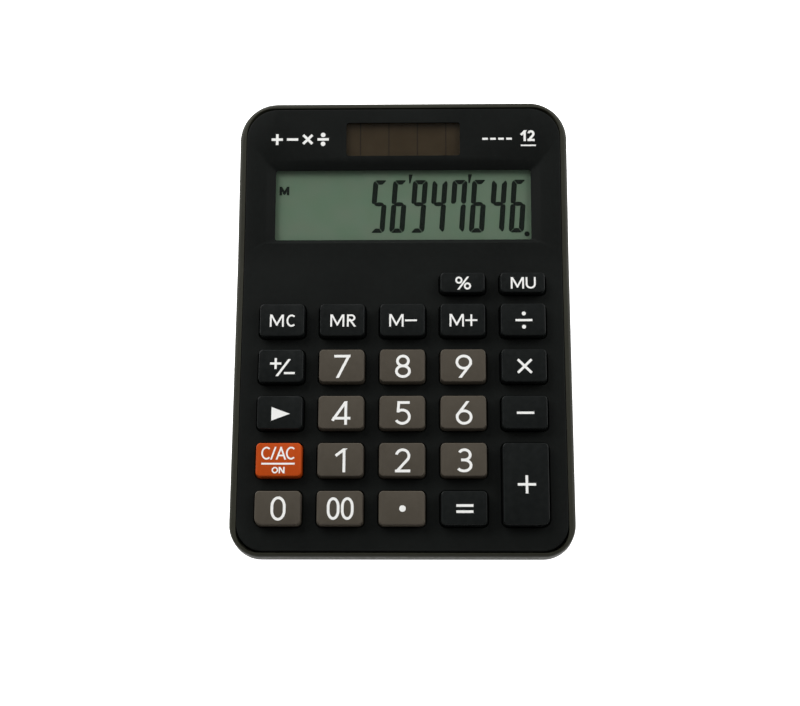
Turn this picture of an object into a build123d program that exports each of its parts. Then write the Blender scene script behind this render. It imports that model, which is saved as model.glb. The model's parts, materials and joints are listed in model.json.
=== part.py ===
"""Compact twelve-digit desk calculator with a fixed sloping display, solar cell and button cell.

Millimetres. +X right, +Y to the rear, +Z up. The origin is on the desk, under the middle of the body.
The face is two planes, the keyboard and the steeper display, joined by a soft bend. Sub-parts are
drawn in the local frame of their plane: x across, y up the slope, z out of the face, 0 on the face.
"""

import os
from math import cos, radians, sin, tan

from build123d import *

# Body
body_width = 106.5
body_length = 147.0
front_height = 11.5  # face above the desk at its front edge
keyboard_tilt = 5.5
display_tilt = 9.66
display_length = 50.6  # up the slope, from the bend to the rear edge of the face
bend_radius = 60.0
front_corner = 10.0
rear_corner = 12.25
rim_side = 2.1  # plan width of the lower case's rim
rim_front = 1.45
rim_rear = 2.1
rim_drop = 0.25
rim_round = 1.1
rim_depth = 4.5  # upright band of the rim, below the face
seam = 0.15
wall = 2.0
lip = 0.8  # ledge under the rim, where the tapered tub begins
front_draft = 22.0
side_draft = 10.0
rear_draft = 14.0
base_round = 1.4
plate = 2.0  # thickness of the face plate
skirt_wall = 1.6
face_round = 0.4

# Feet, label and case screws
foot_height = 1.0
foot_radius = 4.5
foot_recess = 1.0
foot_inset_x = 14.0
foot_inset_front = 17.0
foot_inset_rear = 21.0
label_width = 46.0
label_length = 24.0
label_thickness = 0.15
case_boss = 2.6
case_post = 1.9  # of the upper case, standing on the boss
case_boss_front = 2.4  # ahead of the first keys, between two columns
case_boss_rear = (11.0, 14.5)  # in from the side and the rear
case_screw_radius = 1.0
case_screw_length = 7.5
case_head_radius = 1.9
case_head_height = 1.2
case_seat = 1.6  # counterbore floor above the tub's underside, at the front
case_grip = 2.0  # boss left between the head and the upper post
screw_gap = 0.05
hole_gap = 0.25
rib_height = 1.5
rib_width = 1.2
floor_gap = 0.05  # least room between the lower case's floor and what hangs above it
label_gap = 0.5
label_corner = 1.5

# Keys
columns = 5
rows = 5
key_margin_side = 6.1  # face edge to the first key
key_margin_front = 7.9
key_margin_rear = 5.7  # last key to the bend
key_gap_x = 5.06
key_gap_y = 4.58
small_key_length = 6.4
small_key_gap = 3.9
key_height = 2.9
key_travel = 1.5
key_draft = 4.0
key_corner = 1.3
key_outer_corner = 2.1
key_edge_round = 0.35
key_dish = 0.25
key_wall = 1.2
key_clearance = 0.3
key_lip = 0.2  # chamfer round each opening
flange = 0.8
flange_thickness = 0.8
flange_gap = 0.05
stem_radius = 2.1

# Dome sheet, board and what is on it
dome_over_travel = 0.5  # height left in a dome when its key is down
dome_radius = 3.0
dome_top_radius = 1.9
dome_wall = 0.5
dome_gap = 0.05
sheet_thickness = 0.8
stem_drop = 0.55  # stem end below the flange
board_thickness = 1.2
board_inset_x = 7.1  # face edge to board edge
board_margin_front = 5.0
board_rear_gap = 1.5
sheet_rear_gap = 3.3
post_radius = 1.9
post_gap = 0.4
small_screw_radius = 0.9
small_screw_length = 4.5
small_head_radius = 1.7
small_head_height = 1.1
cell_radius = 5.8
cell_height = 3.05
cell_cap_share = 0.8  # of the can's radius
cell_step = 0.38  # height of the cap's step and of the can's rounding
contact_thickness = 0.2
contact_radius = 4.0
contact_tail = 2.0
clip_thickness = 0.3
clip_width = 4.0
clip_foot = 1.5
blob_radius = 5.0
blob_height = 1.4
capacitor_radius = 2.0
capacitor_height = 5.0
resistor_pitch = 3.2
resistor_size = (3.2, 1.6, 0.6)
diode_size = (2.6, 1.4, 1.0)

# Display
aperture_inset = 9.7  # face edge to the aperture
aperture_length = 23.45
aperture_front = 6.6  # bend to the aperture
aperture_corner = 0.7
bevel_side = 3.35
bevel_front = 1.45
bevel_rear = 2.75
bevel_depth = 1.5
window_depth = 1.9
window_thickness = 1.0
window_overlap = 2.0
glass_overlap = 1.6
glass_thickness = 1.0  # each of the two plates
glass_ledge = 2.6
reflector_thickness = 0.25
glass_gap = 0.1
frame_wall = 1.0
bracket_depth = 5.5
bracket_thickness = 1.5
bracket_side_gap = 0.6
bracket_front = 1.5
bracket_rear = 1.0  # past the LCD's frame, and past the solar pad's sides
bracket_corner = 2.0
ribbon_inset = 10.05  # edge of the glass to the ribbon
ribbon_thickness = 0.2
ribbon_landing = 1.6

# Solar cell
solar_width = 37.0
solar_length = 11.3
solar_rear = 4.85  # opening to the rear edge of the face
solar_corner = 1.0
solar_depth = 0.6
solar_overlap = 1.1
solar_window_thickness = 1.0
cell_strip_thickness = 1.1
pad_inset_x = 6.2
pad_inset_y = 1.6
wire_radius = 0.5
wire_inset = 3.0
wire_drop = 5.6
wire_bend = 2.5
wire_landing = 4.5

# Worked out from the sizes above
reach = body_width + body_length  # longer than the body in any direction
face_front = -body_length / 2 + rim_front
face_rear = body_length / 2 - rim_rear
face_width = body_width - 2 * rim_side
bend_y = face_rear - display_length * cos(radians(display_tilt))
bend_z = front_height + (bend_y - face_front) * tan(radians(keyboard_tilt))
keyboard_length = (bend_y - face_front) / cos(radians(keyboard_tilt))
rear_height = bend_z + display_length * sin(radians(display_tilt))

keyboard = Plane(
    origin=(0, face_front, front_height),
    x_dir=(1, 0, 0),
    z_dir=(0, -sin(radians(keyboard_tilt)), cos(radians(keyboard_tilt))),
).location
display = Plane(
    origin=(0, bend_y, bend_z),
    x_dir=(1, 0, 0),
    z_dir=(0, -sin(radians(display_tilt)), cos(radians(display_tilt))),
).location

key_width = (face_width - 2 * key_margin_side - (columns - 1) * key_gap_x) / columns
key_pitch_x = key_width + key_gap_x
rows_length = keyboard_length - key_margin_front - key_margin_rear - small_key_length - small_key_gap
key_length = (rows_length - (rows - 1) * key_gap_y) / rows
key_pitch_y = key_length + key_gap_y
small_row = key_margin_front + rows_length + small_key_gap + small_key_length / 2

flange_top = -plate - flange_gap
flange_bottom = flange_top - flange_thickness
stem_end = flange_bottom - stem_drop
dome_height = key_travel + dome_over_travel
sheet_top = stem_end - dome_gap - dome_height
board_top = sheet_top - sheet_thickness
board_bottom = board_top - board_thickness
board_width = face_width - 2 * board_inset_x
board_rear = keyboard_length - board_rear_gap
sheet_rear = board_rear - sheet_rear_gap
cell_drop = contact_thickness + cell_height + clip_thickness  # board to the underside of the clip

aperture_width = face_width - 2 * aperture_inset
aperture_middle = aperture_front + aperture_length / 2
glass_top = -window_depth - window_thickness - glass_gap
glass_bottom = glass_top - 2 * glass_thickness
glass_width = aperture_width + 2 * glass_overlap
glass_front = aperture_front - glass_overlap - glass_ledge / 2
glass_rear = aperture_front + aperture_length + glass_overlap
frame_width = glass_width + 2 * (glass_gap + frame_wall)
ribbon_width = glass_width - 2 * ribbon_inset
bracket_low = -bracket_depth - bracket_thickness

solar_front = display_length - solar_rear - solar_length
solar_middle = solar_front + solar_length / 2
strip_width = solar_width + 2 * solar_overlap
strip_length = solar_length + 2 * solar_overlap
solar_cell_top = -solar_depth - solar_window_thickness
solar_cell_bottom = solar_cell_top - cell_strip_thickness

case_floor = foot_height
front_band = front_height - rim_depth
rear_band = rear_height - rim_depth


def column_x(column):
    """Middle of a key column, 0 at the left."""
    return (column - (columns - 1) / 2) * key_pitch_x


def row_y(row):
    """Middle of a full key row, 0 at the front."""
    return key_margin_front + key_length / 2 + row * key_pitch_y


def block(width, length, low, high, corner=0.0, x=0.0, y=0.0):
    """Upright block with rounded corners, centred at x, y, between two heights."""
    outline = RectangleRounded(width, length, corner) if corner else Rectangle(width, length)
    return extrude(Pos(x, y, low) * outline, amount=high - low)


def rod(radius, low, high, x=0.0, y=0.0):
    """Upright round bar."""
    return Pos(x, y, low) * Cylinder(radius, high - low, align=(Align.CENTER, Align.CENTER, Align.MIN))


def span(front, rear):
    """Length and middle of a stretch, for block()."""
    return {"length": rear - front, "y": (front + rear) / 2}


def face_z(y, depth):
    """Heights of the keyboard and display planes at y, sunk by a depth measured square to them."""
    heights = []
    planes = ((face_front, front_height, keyboard_tilt), (bend_y, bend_z, display_tilt))
    for start_y, start_z, tilt in planes:
        heights.append(start_z + (y - start_y) * tan(radians(tilt)) - depth / cos(radians(tilt)))
    return tuple(heights)


def clears_floor(depth):
    """How far up the keyboard a piece that hangs this deep below the face first clears the floor."""
    needed = case_floor + wall + floor_gap + depth * cos(radians(keyboard_tilt)) - front_height
    return needed / sin(radians(keyboard_tilt))


def under_face(depth):
    """Everything below the two-plane face, sunk by a depth."""
    rise = tan(radians(display_tilt)) - tan(radians(keyboard_tilt))
    low, high = face_z(bend_y, depth)
    corner_y = bend_y + (low - high) / rise
    front = -reach / 2
    rear = reach / 2
    surface = FilletPolyline(
        (front, face_z(front, depth)[0]),
        (corner_y, face_z(corner_y, depth)[0]),
        (rear, face_z(rear, depth)[1]),
        radius=bend_radius + depth,
    )
    sides = Polyline(surface @ 1, (rear, -reach), (front, -reach), surface @ 0)
    return extrude(Plane.YZ * make_face([surface, sides]), amount=reach / 2, both=True)


def plan_prism(side, front, rear):
    """Upright prism of the body's plan, inset by three widths."""
    width = body_width - 2 * side
    length = body_length - front - rear
    outline = Pos(0, (front - rear) / 2) * Rectangle(width, length)
    outline = fillet(outline.vertices().sort_by(Axis.Y)[:2], front_corner - front)
    outline = fillet(outline.vertices().sort_by(Axis.Y)[-2:], rear_corner - rear)
    return extrude(Pos(0, 0, -1) * outline, amount=2 * rear_height)


def corner_edges(solid, height):
    """Straight edges that climb most of a height, from the front to the rear."""
    edges = solid.edges().filter_by(GeomType.LINE)
    edges = edges.filter_by(lambda edge: abs((edge @ 1).Z - (edge @ 0).Z) > height / 2)
    return edges.sort_by(lambda edge: edge.center().Y)


def tub(inset, floor):
    """Tapered tub of the lower case: leaning walls below the rim, corners rounded, open upwards."""
    height = 1.5 * rear_height
    bottom = (Align.CENTER, Align.CENTER, Align.MIN)
    solid = Pos(0, 0, floor) * Box(2 * reach, 2 * reach, height, align=bottom)
    lean = tan(radians(side_draft))
    slope = (rear_band - front_band) / (face_rear - face_front)
    for side in (-1, 1):
        start = (side * (body_width / 2 - inset), face_front, front_band)
        solid = split(solid, Plane(origin=start, z_dir=(side, slope * lean, -lean)), keep=Keep.BOTTOM)
    start = (0, -body_length / 2 + inset, front_band)
    solid = split(solid, Plane(origin=start, z_dir=(0, -1, -tan(radians(front_draft)))), keep=Keep.BOTTOM)
    start = (0, body_length / 2 - inset, rear_band)
    solid = split(solid, Plane(origin=start, z_dir=(0, 1, -tan(radians(rear_draft)))), keep=Keep.BOTTOM)
    solid = fillet(corner_edges(solid, height)[:2], front_corner - inset)
    return fillet(corner_edges(solid, height)[-2:], rear_corner - inset)


def case_bosses():
    """Places of the four case screws: x, y, and the height of the screw's seat."""
    front_x = (column_x(3) + column_x(4)) / 2
    front_y = face_front + (key_margin_front - case_boss_front) * cos(radians(keyboard_tilt))
    rear_x = body_width / 2 - case_boss_rear[0]
    rear_y = body_length / 2 - case_boss_rear[1]
    rise = face_z(rear_y, 0)[1] - face_z(front_y, 0)[0]
    seat = case_floor + case_seat
    front = [(side * front_x, front_y, seat) for side in (-1, 1)]
    return front + [(side * rear_x, rear_y, seat + rise) for side in (-1, 1)]


def foot_places():
    """Middles of the four feet."""
    x = body_width / 2 - foot_inset_x
    front = -body_length / 2 + foot_inset_front
    rear = body_length / 2 - foot_inset_rear
    return [(side * x, y) for side in (-1, 1) for y in (front, rear)]


def board_posts():
    """Places of the six board screws, between the keys, on the keyboard plane."""
    near = (column_x(1) + column_x(2)) / 2
    far = (column_x(0) + column_x(1)) / 2
    between = [(row_y(row) + row_y(row + 1)) / 2 for row in range(rows - 1)]
    places = [(near, between[0]), (far, between[1]), (far, between[3])]
    return [(side * x, y) for x, y in places for side in (-1, 1)]


def bracket_posts():
    """Places of the four bracket screws, beside the LCD, on the display plane."""
    x = frame_width / 2 + frame_wall + small_screw_radius / 2
    ys = (glass_front + aperture_length / 6, glass_rear - aperture_length / 6)
    return [(side * x, y) for side in (-1, 1) for y in ys]


def key_outline(width, length, front_left, front_right, grow=0.0):
    """Rounded outline of a key, grown on every side."""
    outline = Rectangle(width + 2 * grow, length + 2 * grow)
    for choose, corner in ((0, front_left), (1, front_right), (2, key_corner), (3, key_corner)):
        wanted = ((-1, -1), (1, -1), (-1, 1), (1, 1))[choose]
        here = outline.vertices().sort_by(lambda v: -(v.X * wanted[0] + v.Y * wanted[1]))[0]
        outline = fillet(here, corner + grow)
    return outline


def key_base_grow():
    """How far the drafted cap grows from its top to the face."""
    return key_height * tan(radians(key_draft))


def key_list():
    """Every key: name, x, y, width, length and the radii of its two front corners."""
    full = key_length
    layout = [
        ["0", "00", "point", "equals", None],
        ["clear_on", "1", "2", "3", None],
        ["backspace", "4", "5", "6", "minus"],
        ["sign", "7", "8", "9", "times"],
        ["memory_clear", "memory_recall", "memory_minus", "memory_plus", "divide"],
    ]
    keys = []
    for row, names in enumerate(layout):
        for column, name in enumerate(names):
            if name:
                left = key_outer_corner if name == "0" else key_corner
                keys.append((name, column_x(column), row_y(row), key_width, full, left, key_corner))
    tall = key_pitch_y + key_length
    tall_y = (row_y(0) + row_y(1)) / 2
    keys.append(("plus", column_x(columns - 1), tall_y, key_width, tall, key_corner, key_outer_corner))
    small = (small_row, key_width, small_key_length, key_corner, key_corner)
    keys += [("percent", column_x(columns - 2), *small), ("markup", column_x(columns - 1), *small)]
    return keys


def key(width, length, front_left, front_right):
    """One key: drafted cap with a dished top, hollow below, a retaining flange and a stem."""
    base = key_base_grow()
    outline = key_outline(width, length, front_left, front_right, base)
    cap = extrude(outline, amount=key_height, taper=key_draft)
    dish_radius = width**2 / (8 * key_dish)
    dish = Pos(0, 0, key_height - key_dish + dish_radius) * Rot(90, 0, 0) * Cylinder(dish_radius, 2 * length)
    cap -= dish
    top = cap.faces().sort_by(lambda face: face.center().Z)[-1]
    cap = fillet(top.edges(), key_edge_round)
    cap += extrude(Pos(0, 0, flange_bottom) * outline, amount=-flange_bottom)
    rim = key_outline(width, length, front_left, front_right, base + flange)
    cap += extrude(Pos(0, 0, flange_bottom) * rim, amount=flange_thickness)
    hollow_top = key_height - key_dish - key_wall
    hollow = block(width - 2 * key_wall, length - 2 * key_wall, flange_bottom, hollow_top, key_corner / 2)
    stem = rod(min(stem_radius, length / 2 - key_wall), stem_end, hollow_top)
    return cap - hollow + stem


def key_opening(width, length, front_left, front_right):
    """Cutter for one key's opening, with a small chamfer at the face."""
    grow = key_base_grow() + key_clearance
    outline = key_outline(width, length, front_left, front_right, grow)
    through = extrude(Pos(0, 0, -2 * plate) * outline, amount=3 * plate)
    mouth = key_outline(width, length, front_left, front_right, grow + key_lip)
    return through + extrude(mouth, amount=-key_lip, taper=45)


def upper_case():
    """Black face shell: plate, skirt, screw posts, key openings, display and solar recesses."""
    inset = (rim_side + seam, rim_front + seam, rim_rear + seam)
    outer = plan_prism(*inset) & under_face(0)
    outer = fillet(outer.edges().group_by(lambda edge: round(top_gap(edge), 1))[0], face_round)
    inner = plan_prism(*[width + skirt_wall for width in inset])
    shell = outer - under_face(rim_depth) - (inner & under_face(plate))
    roof = under_face(plate / 2)
    for x, y, seat in case_bosses():
        shell += rod(case_post, seat + case_grip, rear_height, x, y) & roof
    for x, y in board_posts():
        shell += keyboard * rod(post_radius, board_top, -plate / 2, x, y)
    for x, y in bracket_posts():
        shell += display * rod(post_radius, -bracket_depth, -plate / 2, x, y)
    shell += display * display_frame()
    shell += display * solar_frame()
    for x, y, seat in case_bosses():
        shell -= rod(case_screw_radius + screw_gap, 0, seat + case_screw_length + screw_gap, x, y)
    pilot = small_screw_radius + screw_gap
    for x, y in board_posts():
        shell -= keyboard * rod(pilot, board_top, board_bottom + small_screw_length + screw_gap, x, y)
    for x, y in bracket_posts():
        shell -= display * rod(pilot, bracket_low, bracket_low + small_screw_length + screw_gap, x, y)
    for _, x, y, *sizes in key_list():
        shell -= keyboard * Pos(x, y) * key_opening(*sizes)
    shell -= display * display_opening()
    shell -= display * solar_opening()
    return shell


def top_gap(edge):
    """How far an edge's middle lies below the face."""
    middle = edge.position_at(0.5)
    low, high = face_z(middle.Y, 0)
    return max(low, high) - middle.Z


def display_frame():
    """Walls under the plate that hold the window and the LCD, with a gap at the front for the ribbon."""
    front = glass_front - glass_gap - frame_wall
    rear = glass_rear + glass_gap + frame_wall
    body = block(frame_width, low=glass_bottom, high=-plate / 2, **span(front, rear))
    pocket = block(
        glass_width + 2 * glass_gap,
        low=glass_bottom,
        high=glass_top,
        **span(glass_front - glass_gap, glass_rear + glass_gap),
    )
    slot_top = glass_top - glass_thickness + 2 * ribbon_thickness
    slot_width = ribbon_width + 2 * frame_wall
    reach_through = span(front - frame_wall, glass_front + frame_wall)
    slot = block(slot_width, low=glass_bottom, high=slot_top, **reach_through)
    return body - pocket - slot


def display_opening():
    """Cutter for the bevelled recess, the aperture and the window's pocket."""
    hole = block(aperture_width, aperture_length, glass_top, plate, aperture_corner, y=aperture_middle)
    width = aperture_width + 2 * bevel_side
    length = aperture_length + bevel_front + bevel_rear
    mouth_middle = aperture_middle + (bevel_rear - bevel_front) / 2
    mouth = Pos(0, mouth_middle) * RectangleRounded(width, length, aperture_corner)
    throat = RectangleRounded(aperture_width, aperture_length, aperture_corner)
    throat = Pos(0, aperture_middle, -bevel_depth) * throat
    pocket = block(
        aperture_width + 2 * window_overlap + 2 * glass_gap,
        aperture_length + 2 * window_overlap + 2 * glass_gap,
        glass_top,
        -window_depth,
        y=aperture_middle,
    )
    return hole + loft([mouth, throat]) + pocket


def solar_frame():
    """Walls under the plate that hold the solar window and cell."""
    grow = 2 * (glass_gap + frame_wall)
    return block(strip_width + grow, strip_length + grow, solar_cell_bottom, -plate / 2, y=solar_middle)


def solar_opening():
    """Cutter for the solar opening and the pocket of its window and cell."""
    hole = block(solar_width, solar_length, -plate, plate, solar_corner, y=solar_middle)
    gap = 2 * glass_gap
    pocket = block(strip_width + gap, strip_length + gap, solar_cell_bottom, -solar_depth, y=solar_middle)
    return hole + pocket


def lower_case():
    """Olive tub: rolled rim, ledge, leaning walls, bosses, foot recesses, ribs with room for cell and screws."""
    band = plan_prism(0, 0, 0) & under_face(rim_drop)
    band = fillet(band.edges().group_by(lambda edge: round(top_gap(edge), 1))[0], rim_round)
    band -= under_face(rim_depth)
    outside = tub(lip, case_floor)
    outside = fillet(outside.faces().sort_by(Axis.Z)[0].edges(), base_round)
    shell = band + (outside & under_face(rim_depth - 1))
    shell -= plan_prism(rim_side, rim_front, rim_rear) - under_face(rim_depth)
    shell -= tub(lip + wall, case_floor + wall)
    inside = outside & under_face(rim_depth + wall)
    for x, y, seat in case_bosses():
        shell += rod(case_boss, case_floor, seat + case_grip, x, y) & inside
    below_board = inside & under_face(small_head_height + floor_gap - board_bottom)
    for y in (-body_length / 4, 0, body_length / 4):
        rib = block(body_width, rib_width, case_floor + wall / 2, case_floor + wall + rib_height, y=y)
        shell += rib & below_board
    for x, y, seat in case_bosses():
        shell -= rod(case_head_radius + hole_gap, 0, seat, x, y)
        shell -= rod(case_screw_radius + hole_gap, 0, seat + case_grip, x, y)
    for x, y in foot_places():
        shell -= rod(foot_radius + screw_gap, 0, case_floor + foot_recess, x, y)
    shell -= on_board(rod(cell_radius + floor_gap, -cell_drop - floor_gap, 0), *button_cell_place())
    for x, y in board_posts():
        shell -= on_board(rod(small_head_radius + floor_gap, -small_head_height - floor_gap, 0), x, y)
    width = label_width + 2 * label_gap
    length = label_length + 2 * label_gap
    shell -= block(width, length, 0, case_floor + label_thickness, label_corner + label_gap)
    return shell


def rubber_feet():
    """Four round rubber pads, seated in their recesses."""
    pad = rod(foot_radius, 0, foot_height + foot_recess)
    pad = fillet(pad.edges().sort_by(Axis.Z)[0], foot_height / 2)
    return [Pos(x, y) * pad for x, y in foot_places()]


def back_label():
    """Blank label in a shallow recess of the underside."""
    return block(label_width, label_length, case_floor, case_floor + label_thickness, label_corner)


def screw(radius, length, head_radius, head_height):
    """Pan-head screw pointing up, its seat at z = 0, with a cross recess."""
    head = rod(head_radius, -head_height, 0)
    head = fillet(head.edges().sort_by(Axis.Z)[0], head_height / 3)
    slot_depth = head_height / 2
    for turn in (0, 90):
        slot = Rot(0, 0, turn) * block(head_radius, head_radius / 4, -head_height, slot_depth - head_height)
        head -= slot
    shank = rod(radius, 0, length)
    return head + chamfer(shank.edges().sort_by(Axis.Z)[-1], radius / 2)


def case_screws():
    """The four screws that hold the halves together."""
    one = screw(case_screw_radius, case_screw_length, case_head_radius, case_head_height)
    return [Pos(*place) * one for place in case_bosses()]


def board_screws():
    """The six screws that hold the board to the upper case."""
    one = screw(small_screw_radius, small_screw_length, small_head_radius, small_head_height)
    return [keyboard * Pos(x, y, board_bottom) * one for x, y in board_posts()]


def bracket_screws():
    """The four screws that hold the display bracket."""
    one = screw(small_screw_radius, small_screw_length, small_head_radius, small_head_height)
    return [display * Pos(x, y, bracket_low) * one for x, y in bracket_posts()]


def board_front():
    """Front edge of the board and the dome sheet, where the board clears the floor."""
    return max(board_margin_front, clears_floor(-board_bottom))


def front_notches():
    """Cutters, on the keyboard plane, that clear the front case bosses."""
    room = case_boss + post_gap
    boss_y = key_margin_front - case_boss_front
    notch = extrude(key_outline(2 * room, 2 * boss_y, key_corner, key_corner), amount=-board_bottom)
    return [Pos(x, room, board_bottom) * notch for x, _, _ in case_bosses()[:2]]


def main_board():
    """Board under the dome sheet, with its screw holes."""
    solid = block(board_width, low=board_bottom, high=board_top, **span(board_front(), board_rear))
    for notch in front_notches():
        solid -= notch
    for x, y in board_posts():
        solid -= rod(small_screw_radius + hole_gap, board_bottom, board_top, x, y)
    return keyboard * solid


def dome_sheet():
    """Silicone sheet with a hollow dome under every key, open round the posts."""
    solid = block(board_width, low=board_top, high=sheet_top, **span(board_front(), sheet_rear))
    for notch in front_notches():
        solid -= notch
    for x, y in board_posts():
        solid -= rod(post_radius + post_gap, board_top, sheet_top, x, y)
    top = sheet_top + dome_height
    for _, x, y, _, length, *_ in key_list():
        spread = min(dome_radius, length / 2)
        dome = Cone(spread, dome_top_radius, dome_height, align=(Align.CENTER, Align.CENTER, Align.MIN))
        inner = Cone(
            spread - dome_wall,
            dome_top_radius - dome_wall,
            dome_height - dome_wall,
            align=(Align.CENTER, Align.CENTER, Align.MIN),
        )
        solid += Pos(x, y, top - dome_height) * dome
        solid -= Pos(x, y, top - dome_height) * inner
        solid -= rod(spread - dome_wall, board_top, sheet_top, x, y)
    return keyboard * solid


def on_board(solid, x, y):
    """Places a piece, drawn hanging from z = 0, on the underside of the board."""
    return keyboard * Pos(x, y, board_bottom) * solid


def chip_cover():
    """Epoxy drop over the chip."""
    radius = (blob_radius**2 + blob_height**2) / (2 * blob_height)
    drop = Pos(0, 0, radius - blob_height) * Sphere(radius)
    drop &= block(2 * blob_radius, 2 * blob_radius, -blob_height, 0)
    return on_board(drop, 0, (row_y(2) + row_y(3)) / 2)


def button_cell_place():
    """Middle of the button cell on the board."""
    x = (column_x(0) + column_x(1)) / 2 + post_radius + cell_radius
    return x, max(row_y(2), clears_floor(cell_drop - board_bottom) + cell_radius)


def button_cell():
    """Button cell lying under the board on its contact plate."""
    top = -contact_thickness
    can = rod(cell_radius, top - cell_height, top - cell_step)
    can = fillet(can.edges().sort_by(Axis.Z)[0], cell_step)
    cap = rod(cell_radius * cell_cap_share, top - cell_step, top)
    return on_board(can + cap, *button_cell_place())


def cell_contact():
    """Flat negative contact between the cell and the board."""
    disc = rod(contact_radius, -contact_thickness, 0)
    length = cell_radius + contact_tail
    tail = block(clip_width / 2, length, -contact_thickness, 0, y=length / 2)
    return on_board(disc + tail, *button_cell_place())


def cell_clip():
    """Positive clip: a strap under the cell with two legs to the board."""
    low = -cell_drop
    inner = cell_radius + 2 * screw_gap
    outer = inner + clip_thickness
    strap = block(2 * outer, clip_width, low, low + clip_thickness)
    for side in (-1, 1):
        strap += block(clip_thickness, clip_width, low, 0, x=side * (inner + clip_thickness / 2))
        strap += block(clip_foot, clip_width, -clip_thickness, 0, x=side * (outer + clip_foot / 2))
    return on_board(strap, *button_cell_place())


def capacitors():
    """Two upright can capacitors."""
    can = rod(capacitor_radius, -capacitor_height, 0)
    can = fillet(can.edges().sort_by(Axis.Z)[0], capacitor_radius / 5)
    x = column_x(3)
    y = max((row_y(3) + row_y(4)) / 2, clears_floor(capacitor_height - board_bottom) + capacitor_radius)
    step = 1.5 * capacitor_radius
    return [on_board(can, x + side * step, y) for side in (-1, 1)]


def resistors():
    """Four chip resistors in a row."""
    width, length, height = resistor_size
    one = block(width, length, -height, 0)
    return [on_board(one, column_x(3), row_y(3) - index * resistor_pitch) for index in range(4)]


def clamp_diode():
    """Small diode that limits the solar cell's voltage."""
    width, length, height = diode_size
    return on_board(block(width, length, -height, 0), column_x(1), row_y(4))


def display_window():
    """Clear plate behind the aperture."""
    width = aperture_width + 2 * window_overlap
    length = aperture_length + 2 * window_overlap
    low = -window_depth - window_thickness
    return display * block(width, length, low, -window_depth, aperture_corner, y=aperture_middle)


def lcd_panel():
    """Two bonded glass plates, the lower one with a ledge at the front for the ribbon."""
    middle = glass_top - glass_thickness
    upper = block(glass_width, low=middle, high=glass_top, **span(glass_front + glass_ledge, glass_rear))
    lower = block(glass_width, low=glass_bottom, high=middle, **span(glass_front, glass_rear))
    return display * (upper + lower)


def lcd_reflector():
    """Reflector film on the back of the glass."""
    film = block(
        glass_width,
        low=glass_bottom - reflector_thickness,
        high=glass_bottom,
        **span(glass_front + glass_ledge, glass_rear),
    )
    return display * film


def display_bracket():
    """Bracket behind the LCD, with a tongue that backs the solar cell's pad."""
    width = 2 * (face_width / 2 - seam - skirt_wall - bracket_side_gap)
    rear = glass_rear + frame_wall + bracket_rear
    heights = {"low": bracket_low, "high": -bracket_depth}
    solid = block(width, corner=bracket_corner, **heights, **span(bracket_front, rear))
    tongue_width = strip_width - 2 * pad_inset_x + 2 * bracket_rear
    solid += block(tongue_width, **heights, **span(rear - bracket_corner, display_length - solar_rear))
    for x, y in bracket_posts():
        solid -= rod(small_screw_radius + hole_gap, bracket_low, -bracket_depth, x, y)
    return display * solid


def lcd_ribbon():
    """Ribbon from the LCD's ledge down to the rear edge of the board."""
    ledge = glass_top - glass_thickness
    stops = [
        display * Pos(0, glass_front + ribbon_landing, ledge),
        display * Pos(0, glass_front, ledge),
        keyboard * Pos(0, board_rear, board_top),
        keyboard * Pos(0, board_rear - ribbon_landing, board_top),
    ]
    under = [(stop.position.Y, stop.position.Z) for stop in stops]
    over = [(y, z + ribbon_thickness) for y, z in reversed(under)]
    section = make_face(Polyline(*under, *over, close=True))
    return extrude(Plane.YZ * section, amount=ribbon_width / 2, both=True)


def solar_piece(width, length, low, high):
    """Flat piece centred behind the solar opening."""
    return display * block(width, length, low, high, y=solar_middle)


def solar_wire(side):
    """Wire from the solar cell's back, under the bracket, to the underside of the board."""
    x = side * (strip_width / 2 - wire_inset)
    start = display * Pos(x, solar_middle, solar_cell_bottom)
    turn = display * Pos(x, solar_middle, bracket_low - wire_drop + 2 * wire_radius)
    below = keyboard * Pos(x, board_rear - wire_landing, board_bottom - wire_drop)
    end = keyboard * Pos(x, board_rear - wire_landing, board_bottom)
    stops = [start.position, turn.position, below.position, end.position]
    path = FilletPolyline(*stops, radius=wire_bend)
    section = Plane(origin=path @ 0, z_dir=path % 0) * Circle(wire_radius)
    return sweep(section, path=path)


def write(name, shape):
    """Writes one sub-part, or a group of separate solids, to its STEP file."""
    solids = shape if isinstance(shape, list) else [shape]
    solids = [solid for item in solids for solid in item.solids()]
    whole = solids[0] if len(solids) == 1 else Compound(children=solids)
    whole.label = name
    export_step(whole, f"parts/{name}.step")


def main():
    os.makedirs("parts", exist_ok=True)
    pieces = {
        "upper_case": upper_case(),
        "lower_case": lower_case(),
        "rubber_feet": rubber_feet(),
        "back_label": back_label(),
        "case_screws": case_screws(),
        "board_screws": board_screws(),
        "bracket_screws": bracket_screws(),
        "main_board": main_board(),
        "dome_sheet": dome_sheet(),
        "chip_cover": chip_cover(),
        "button_cell": button_cell(),
        "cell_contact": cell_contact(),
        "cell_clip": cell_clip(),
        "capacitors": capacitors(),
        "resistors": resistors(),
        "clamp_diode": clamp_diode(),
        "display_window": display_window(),
        "lcd_panel": lcd_panel(),
        "lcd_reflector": lcd_reflector(),
        "display_bracket": display_bracket(),
        "lcd_ribbon": lcd_ribbon(),
        "solar_window": solar_piece(strip_width, strip_length, solar_cell_top, -solar_depth),
        "solar_cell": solar_piece(strip_width, strip_length, solar_cell_bottom, solar_cell_top),
        "solar_pad": solar_piece(
            strip_width - 2 * pad_inset_x, strip_length - 2 * pad_inset_y, -bracket_depth, solar_cell_bottom
        ),
        "solar_wire_red": solar_wire(-1),
        "solar_wire_black": solar_wire(1),
    }
    for name, x, y, *sizes in key_list():
        pieces[f"key_{name}"] = keyboard * Pos(x, y) * key(*sizes)
    for name, shape in pieces.items():
        write(name, shape)


main()
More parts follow.
